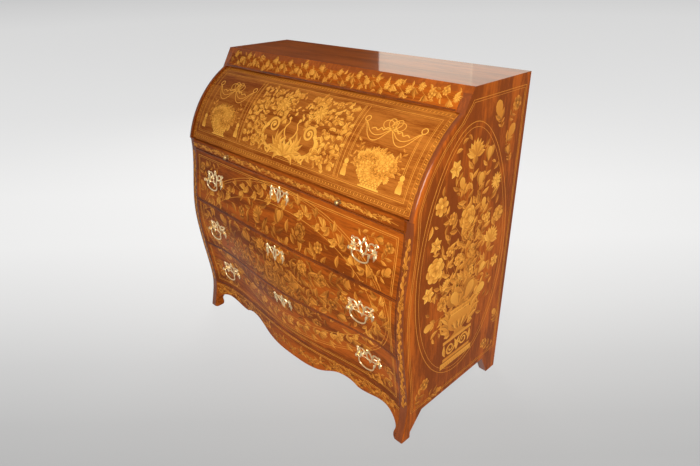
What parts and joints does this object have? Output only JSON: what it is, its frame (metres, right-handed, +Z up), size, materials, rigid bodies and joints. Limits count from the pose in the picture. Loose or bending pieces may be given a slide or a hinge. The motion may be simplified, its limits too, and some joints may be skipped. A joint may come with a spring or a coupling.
{
  "type": "cylinder desk",
  "caption": "Swelling-fronted cylinder desk with floral marquetry: a curved fall rolls back as its writing slide pulls out, above long drawers with brass bail handles.",
  "frame": {"origin": "centre of the footprint of the closed desk, on the floor", "axes": "+X along the width, +Y towards the back, +Z up; the drawers open towards -Y"},
  "size_m": [1.16, 0.5707, 1.11],
  "materials": {
    "apron_veneer": "high gloss polish over marquetry",
    "back_pine": "raw",
    "brass": "bright cast",
    "cylinder_fall_veneer": "high gloss polish over marquetry",
    "drawer_veneer": "high gloss polish over marquetry",
    "fitting_wood": "waxed",
    "frieze_board_veneer": "high gloss polish over marquetry",
    "leather": "worn morocco",
    "lock_iron": "dull forged",
    "oak": "planed",
    "side_veneer": "high gloss polish over marquetry",
    "slide_front_veneer": "high gloss polish over marquetry",
    "top_veneer": "high gloss polish over marquetry"
  },
  "bodies": {
    "case": {"apron": "apron_veneer", "bottom_board": "back_pine", "drawer_rails": "oak", "drawer_runners": "oak", "foot_blocks": "back_pine", "frieze_board": "frieze_board_veneer", "interior_base": "fitting_wood", "interior_shelf": "fitting_wood", "interior_top": "fitting_wood", "left_side": "side_veneer", "lower_back_panel": "back_pine", "lower_partitions": "fitting_wood", "right_side": "side_veneer", "slide_runners": "oak", "top_board": "top_veneer", "upper_back_panel": "back_pine", "upper_partitions": "fitting_wood", "waist_rail": "oak"},
    "fall": {"cylinder_fall": "cylinder_fall_veneer", "fall_lower_rail": "oak"},
    "slide": {"writing_slide": "oak", "writing_leather": "leather", "slide_front": "slide_front_veneer", "slide_knobs": "brass"},
    "lower_drawer": {"lower_drawer_back": "oak", "lower_drawer_bottom": "oak", "lower_drawer_escutcheon": "brass", "lower_drawer_front": "drawer_veneer", "lower_drawer_lock": "lock_iron", "lower_drawer_plates": "brass", "lower_drawer_posts": "brass", "lower_drawer_sides": "oak"},
    "lower_drawer_left_bail": {"lower_drawer_left_bail": "brass"},
    "lower_drawer_right_bail": {"lower_drawer_right_bail": "brass"},
    "middle_drawer": {"middle_drawer_back": "oak", "middle_drawer_bottom": "oak", "middle_drawer_escutcheon": "brass", "middle_drawer_front": "drawer_veneer", "middle_drawer_lock": "lock_iron", "middle_drawer_plates": "brass", "middle_drawer_posts": "brass", "middle_drawer_sides": "oak"},
    "middle_drawer_left_bail": {"middle_drawer_left_bail": "brass"},
    "middle_drawer_right_bail": {"middle_drawer_right_bail": "brass"},
    "upper_drawer": {"upper_drawer_back": "oak", "upper_drawer_bottom": "oak", "upper_drawer_escutcheon": "brass", "upper_drawer_front": "drawer_veneer", "upper_drawer_lock": "lock_iron", "upper_drawer_plates": "brass", "upper_drawer_posts": "brass", "upper_drawer_sides": "oak"},
    "upper_drawer_left_bail": {"upper_drawer_left_bail": "brass"},
    "upper_drawer_right_bail": {"upper_drawer_right_bail": "brass"},
    "small_drawer_1": {"small_drawer_1": "fitting_wood"},
    "small_drawer_2": {"small_drawer_2": "fitting_wood"},
    "small_drawer_3": {"small_drawer_3": "fitting_wood"},
    "small_drawer_4": {"small_drawer_4": "fitting_wood"}
  },
  "joints": [
    {"name": "slide_pull", "type": "slide", "parent": "case", "child": "slide", "axis": [0, -1, 0], "range_m": [0, 0.25]},
    {"name": "fall_turn", "type": "hinge", "parent": "case", "child": "fall", "pos_m": [0, 0.1512, 0.687], "axis": [-1, 0, 0], "range_deg": [0, 41]},
    {"name": "lower_drawer_slide", "type": "slide", "parent": "case", "child": "lower_drawer", "axis": [0, -1, 0], "range_m": [0, 0.33]},
    {"name": "lower_drawer_left_bail_swing", "type": "hinge", "parent": "lower_drawer", "child": "lower_drawer_left_bail", "pos_m": [-0.405, -0.24152, 0.235], "axis": [-1, 0, 0], "range_deg": [0, 80]},
    {"name": "lower_drawer_right_bail_swing", "type": "hinge", "parent": "lower_drawer", "child": "lower_drawer_right_bail", "pos_m": [0.405, -0.24152, 0.235], "axis": [-1, 0, 0], "range_deg": [0, 80]},
    {"name": "middle_drawer_slide", "type": "slide", "parent": "case", "child": "middle_drawer", "axis": [0, -1, 0], "range_m": [0, 0.33]},
    {"name": "middle_drawer_left_bail_swing", "type": "hinge", "parent": "middle_drawer", "child": "middle_drawer_left_bail", "pos_m": [-0.405, -0.27852, 0.444], "axis": [-1, 0, 0], "range_deg": [0, 80]},
    {"name": "middle_drawer_right_bail_swing", "type": "hinge", "parent": "middle_drawer", "child": "middle_drawer_right_bail", "pos_m": [0.405, -0.27852, 0.444], "axis": [-1, 0, 0], "range_deg": [0, 80]},
    {"name": "upper_drawer_slide", "type": "slide", "parent": "case", "child": "upper_drawer", "axis": [0, -1, 0], "range_m": [0, 0.33]},
    {"name": "upper_drawer_left_bail_swing", "type": "hinge", "parent": "upper_drawer", "child": "upper_drawer_left_bail", "pos_m": [-0.405, -0.26605, 0.653], "axis": [-1, 0, 0], "range_deg": [0, 80]},
    {"name": "upper_drawer_right_bail_swing", "type": "hinge", "parent": "upper_drawer", "child": "upper_drawer_right_bail", "pos_m": [0.405, -0.26605, 0.653], "axis": [-1, 0, 0], "range_deg": [0, 80]},
    {"name": "small_drawer_1_slide", "type": "slide", "parent": "case", "child": "small_drawer_1", "axis": [0, -1, 0], "range_m": [0, 0.15]},
    {"name": "small_drawer_2_slide", "type": "slide", "parent": "case", "child": "small_drawer_2", "axis": [0, -1, 0], "range_m": [0, 0.15]},
    {"name": "small_drawer_3_slide", "type": "slide", "parent": "case", "child": "small_drawer_3", "axis": [0, -1, 0], "range_m": [0, 0.15]},
    {"name": "small_drawer_4_slide", "type": "slide", "parent": "case", "child": "small_drawer_4", "axis": [0, -1, 0], "range_m": [0, 0.15]}
  ],
  "couplings": [
    {"joint": "fall_turn", "follows": "slide_pull", "rad_per_m": 2.862}
  ]
}
